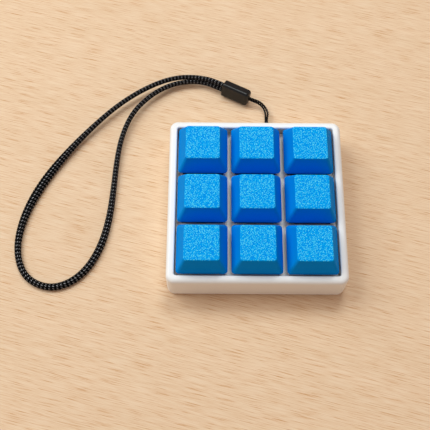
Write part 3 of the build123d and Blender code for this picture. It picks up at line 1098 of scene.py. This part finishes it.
case_rings = [case_ring(seat_half, case_foot, seat_corner)]
for angle in arc(foot_steps, -90, 0):
    inset = foot_round * (1 - math.cos(angle))
    rise = case_foot + foot_round * (1 + math.sin(angle))
    case_rings.append(case_ring(case_half - inset, rise, case_corner - inset))
for angle in arc(rim_steps, 0, 90):
    inset = rim_round * (1 - math.cos(angle))
    rise = rim_top - rim_round * (1 - math.sin(angle))
    case_rings.append(case_ring(case_half - inset, rise, case_corner - inset))
for angle in arc(rim_inner_steps, 90, 0):
    inset = rim_inner_round * (1 - math.cos(angle))
    rise = rim_top - rim_inner_round * (1 - math.sin(angle))
    case_rings.append(case_ring(opening_half + inset, rise, opening_corner + inset))
case_rings.append(case_ring(opening_half, plate_low, opening_corner))
for half, rise in ((ledge_half, plate_low), (ledge_half, cover_high), (seat_half, cover_high)):
    case_rings.append(case_ring(half, rise, seat_corner))
case_skin = Skin(
    [point for ring in case_rings for point in ring],
    ring_quads(len(case_rings), len(case_rings[0]), closed=True),
)
print(len(case_rings), "rings round the case")

# %% Cut the socket's mouth and the eye's pocket
mouth_flare = 0.3
mouth_clear = 1.0
usb_x = -9.525
usb_z = 3.42
usb_half_width = 4.72
usb_half_height = 1.83
usb_corner = 1.82
usb_inner_y = 26.0
eye_x = 5.0
eye_z = 4.6
eye_half_width = 2.4
eye_half_height = 1.4
eye_corner = 0.4
eye_inner_y = 28.5


def wall_cutter(name, x, z, half_width, half_height, radius, inner_y):
    """A rounded plug into the rear wall that flares at its mouth."""
    steps = [
        (0.0, inner_y),
        (0.0, case_half - mouth_flare),
        (mouth_flare, case_half),
        (mouth_flare, case_half + mouth_clear),
    ]
    rings = []
    for flare, y in steps:
        wide = half_width + flare
        tall = half_height + flare
        outline = rounded_outline(-wide, wide, -tall, tall, radius + flare)
        rings.append([(x + across, y, z + up) for across, up in outline])
    return mesh_object(name, stacked(rings))


case_finish = moulded(
    "case_finish", paint(249, 250, 250), paint(246, 247, 247), (0.34, 0.42), depth=0.000003
)
case_cutters = [
    wall_cutter("usb_mouth", usb_x, usb_z, usb_half_width, usb_half_height, usb_corner, usb_inner_y),
    wall_cutter("eye_pocket", eye_x, eye_z, eye_half_width, eye_half_height, eye_corner, eye_inner_y),
]
case = make_piece("case_frame", case_skin, [case_finish], "base", cutters=case_cutters)
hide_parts("case_shell")
print(len(case.data.vertices), "points in the case")

# %% Add the eye's bar
bar_radius = 0.7
bar_y = 30.5
bar_sides = 24

# Heights from the bar's middle, and how much it widens there to meet the pocket
bar_profile = [(-1.5, 0.25), (-1.25, 0.05), (-1.0, 0.0), (1.0, 0.0), (1.25, 0.05), (1.5, 0.25)]
bar_rings = [level_ring(round_outline(bar_radius + flare, bar_sides), rise) for rise, flare in bar_profile]
bar_skin = stacked(moved(bar_rings, eye_x, bar_y, eye_z))
eye_bar = make_piece("eye_bar", bar_skin, [case_finish], "base")
print("bar", round(eye_bar.dimensions.z / MM, 1), "mm high")

# %% [markdown]
# ## Parts that stay as CAD
# The plate, the cover, the switch housings, the stems and the parts on the board already have their true
# shapes. They keep their meshes and get a finish each. A weld and a fine bevel break the sharp edges of
# those that show, so that they catch light as moulded edges do.

# %% Finishes for the CAD nodes
finishes = {
    "plate_white": moulded("plate_finish", paint(250, 251, 252), paint(247, 248, 249), (0.4, 0.5)),
    "cover_white": moulded(
        "cover_finish", paint(240, 240, 238), paint(235, 235, 233), (0.5, 0.6), grains=2500.0, depth=0.00002
    ),
    "switch_black": moulded("housing_finish", paint(44, 45, 47), paint(52, 53, 55), (0.45, 0.55)),
    "stem_grey": moulded("stem_finish", paint(186, 188, 190), paint(178, 180, 183), (0.3, 0.4)),
    "chip_black": moulded("chip_finish", paint(30, 30, 31), paint(38, 38, 39), (0.5, 0.65), grains=8000.0),
    "contact_brass": plated("contact_finish", paint(206, 170, 88), paint(240, 214, 140), (0.25, 0.4)),
    "usb_steel": plated("usb_finish", paint(178, 180, 182), paint(226, 227, 228), (0.22, 0.36)),
    "board_green": moulded(
        "board_finish", paint(24, 92, 52), paint(30, 104, 60), (0.28, 0.4), grains=1500.0
    ),
}
slots = {entry["node"]: entry["material_slot"] for entry in frame["record"]["subparts"]}
dressed = 0
for node_name, node in nodes.items():
    if slots[node_name] in finishes:
        node.data.materials.clear()
        node.data.materials.append(finishes[slots[node_name]])
        dressed += 1
print(dressed, "CAD nodes dressed")

# %% Break the sharp edges that show
broken_edges = {"switch_plate": 0.15, "bottom_cover": 0.2, "usb_receptacle": 0.06, "usb_tongue": 0.08}


def break_edges(node, width):
    """Welds a CAD node's seams and bevels its sharp edges, as modifiers only."""
    weld = node.modifiers.new("weld", "WELD")
    weld.merge_threshold = 0.000001
    bevel = node.modifiers.new("broken_edges", "BEVEL")
    bevel.width = width * MM
    bevel.segments = 2
    bevel.limit_method = "ANGLE"
    bevel.angle_limit = math.radians(40)
    bevel.harden_normals = True


for node_name, width in broken_edges.items():
    break_edges(nodes[node_name], width)
print("edges broken on", len(broken_edges), "nodes")

# %% [markdown]
# ## Small parts
# The springs are round wire with closed ends. The screws have flat
# heads with a cross recess. The feet are soft square pads, and the socket's tongue has rows of flat
# contacts.

# %% Wind the springs
spring_radius = 1.6
spring_turns = 5.5
spring_low = 6.7
spring_high = 13.4
steps_a_turn = 20
closed_share = 0.14
wire_radius = 0.2
wire_sides = 8
spring_finish = plated("spring_finish", paint(196, 197, 199), paint(235, 235, 236), (0.2, 0.3))


def spring_slices(x, y):
    """Slices of a coil that climbs between its two closed ends."""
    slices = []
    steps = round(spring_turns * steps_a_turn)
    for step in range(steps + 1):
        share = step / steps
        climb = min(max((share - closed_share) / (1 - 2 * closed_share), 0), 1)
        rise = between(spring_low + wire_radius, spring_high - wire_radius, climb)
        angle = 2 * math.pi * spring_turns * share
        out = Vector((math.cos(angle), math.sin(angle), 0))
        slices.append(Slice(Vector((x, y, rise)) + out * spring_radius, out, wire_radius, wire_radius, 0.0))
    return slices


def wind_spring(name):
    """A round wire coil that replaces a CAD spring."""
    low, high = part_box(f"spring_{name}")
    x = (low[0] + high[0]) / 2 / MM
    y = (low[1] + high[1]) / 2 / MM
    skin = Skin([], [])
    add_strand(skin, spring_slices(x, y), sides=wire_sides)
    piece = make_piece(
        f"coil_{name}", skin, [spring_finish], "base", sharp=80, even=False
    )
    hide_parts(f"spring_{name}")
    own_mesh(piece)
    return piece


coils = [wind_spring(name) for name in key_names]
print(len(coils), "springs of", len(coils[0].data.vertices), "points")

# %% Turn the screws
screw_spacing = 19.05
screw_sides = 32
recess_half_arm = 0.22

# Radius and height up a screw, and half length and height up its recess
screw_profile = [(1.75, 0.5), (1.9, 0.58), (1.0, 1.48), (1.0, 5.3), (0.8, 5.5)]
recess_profile = [(1.15, 0.3), (1.15, 0.55), (0.75, 1.2)]
screw_rings = [level_ring(round_outline(radius, screw_sides), rise) for radius, rise in screw_profile]
recess_rings = [
    level_ring(cross_outline(half_length, recess_half_arm, recess_half_arm), rise)
    for half_length, rise in recess_profile
]


def four_places(half):
    """The corners of a square round the origin."""
    return [(x, y) for x in (-half, half) for y in (-half, half)]


screw_skin = Skin([], [])
recesses = []
for x, y in four_places(screw_spacing / 2):
    add_stack(screw_skin, moved(screw_rings, x, y))
    recesses.append(mesh_object(f"recess_{len(recesses)}", stacked(moved(recess_rings, x, y))))
screw_finish = plated("screw_finish", paint(150, 152, 155), paint(214, 215, 217), (0.25, 0.4))
screws = make_piece("screws", screw_skin, [screw_finish], "base", cutters=recesses)
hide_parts("cover_screws")
print(len(screws.data.vertices), "points in four screws")

# %% Mould the feet
foot_half = 4.0
foot_corner = 1.2
foot_place = 22.5

# How far each ring is drawn in, and its height
foot_profile = [(0.18, 0.0), (0.06, 0.05), (0.0, 0.16), (0.0, 0.4), (0.1, 0.5)]
foot_rings = [
    level_ring(square_outline(foot_half - inset, foot_corner - inset), rise) for inset, rise in foot_profile
]
foot_skin = Skin([], [])
for x, y in four_places(foot_place):
    add_stack(foot_skin, moved(foot_rings, x, y))
foot_finish = moulded(
    "foot_finish", paint(52, 52, 53), paint(60, 60, 61), (0.7, 0.85), grains=2200.0, depth=0.00003
)
feet = make_piece("feet", foot_skin, [foot_finish], "base", sharp=60)
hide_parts("rubber_feet")
print(len(feet.data.vertices), "points in four feet")

# %% Lay the socket's contacts
contact_count = 12
contact_spacing = 0.5
contact_half_width = 0.14
contact_length = 2.6
contact_corner = 0.06

# Every third contact reaches nearer to the tongue's end than the others
long_every = 3
long_setback = 0.35
short_setback = 0.7

# How far each ring is drawn in, and its height off the tongue
contact_profile = [(0.0, -0.02), (0.0, 0.03), (0.03, 0.05)]
tongue_low, tongue_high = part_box("usb_tongue")


def contact_rings(number, level, side):
    """Rings of one contact on the tongue's upper or lower face."""
    x = usb_x + (number - (contact_count - 1) / 2) * contact_spacing
    end = tongue_high[1] / MM - (long_setback if number % long_every == 0 else short_setback)
    left = x - contact_half_width
    right = x + contact_half_width
    start = end - contact_length
    rings = []
    for inset, rise in contact_profile:
        outline = rounded_outline(
            left + inset, right - inset, start + inset, end - inset, contact_corner, steps=2
        )
        rings.append(level_ring(outline[::side], level + side * rise))
    return rings


contact_skin = Skin([], [])
for level, side in ((tongue_high[2] / MM, 1), (tongue_low[2] / MM, -1)):
    for number in range(contact_count):
        add_stack(contact_skin, contact_rings(number, level, side))
contacts = make_piece("usb_contacts", contact_skin, [finishes["contact_brass"]], "base")
print(2 * contact_count, "contacts of", len(contacts.data.vertices), "points on the tongue")

# %% [markdown]
# ## Finish

# %% Finish
print("finished")
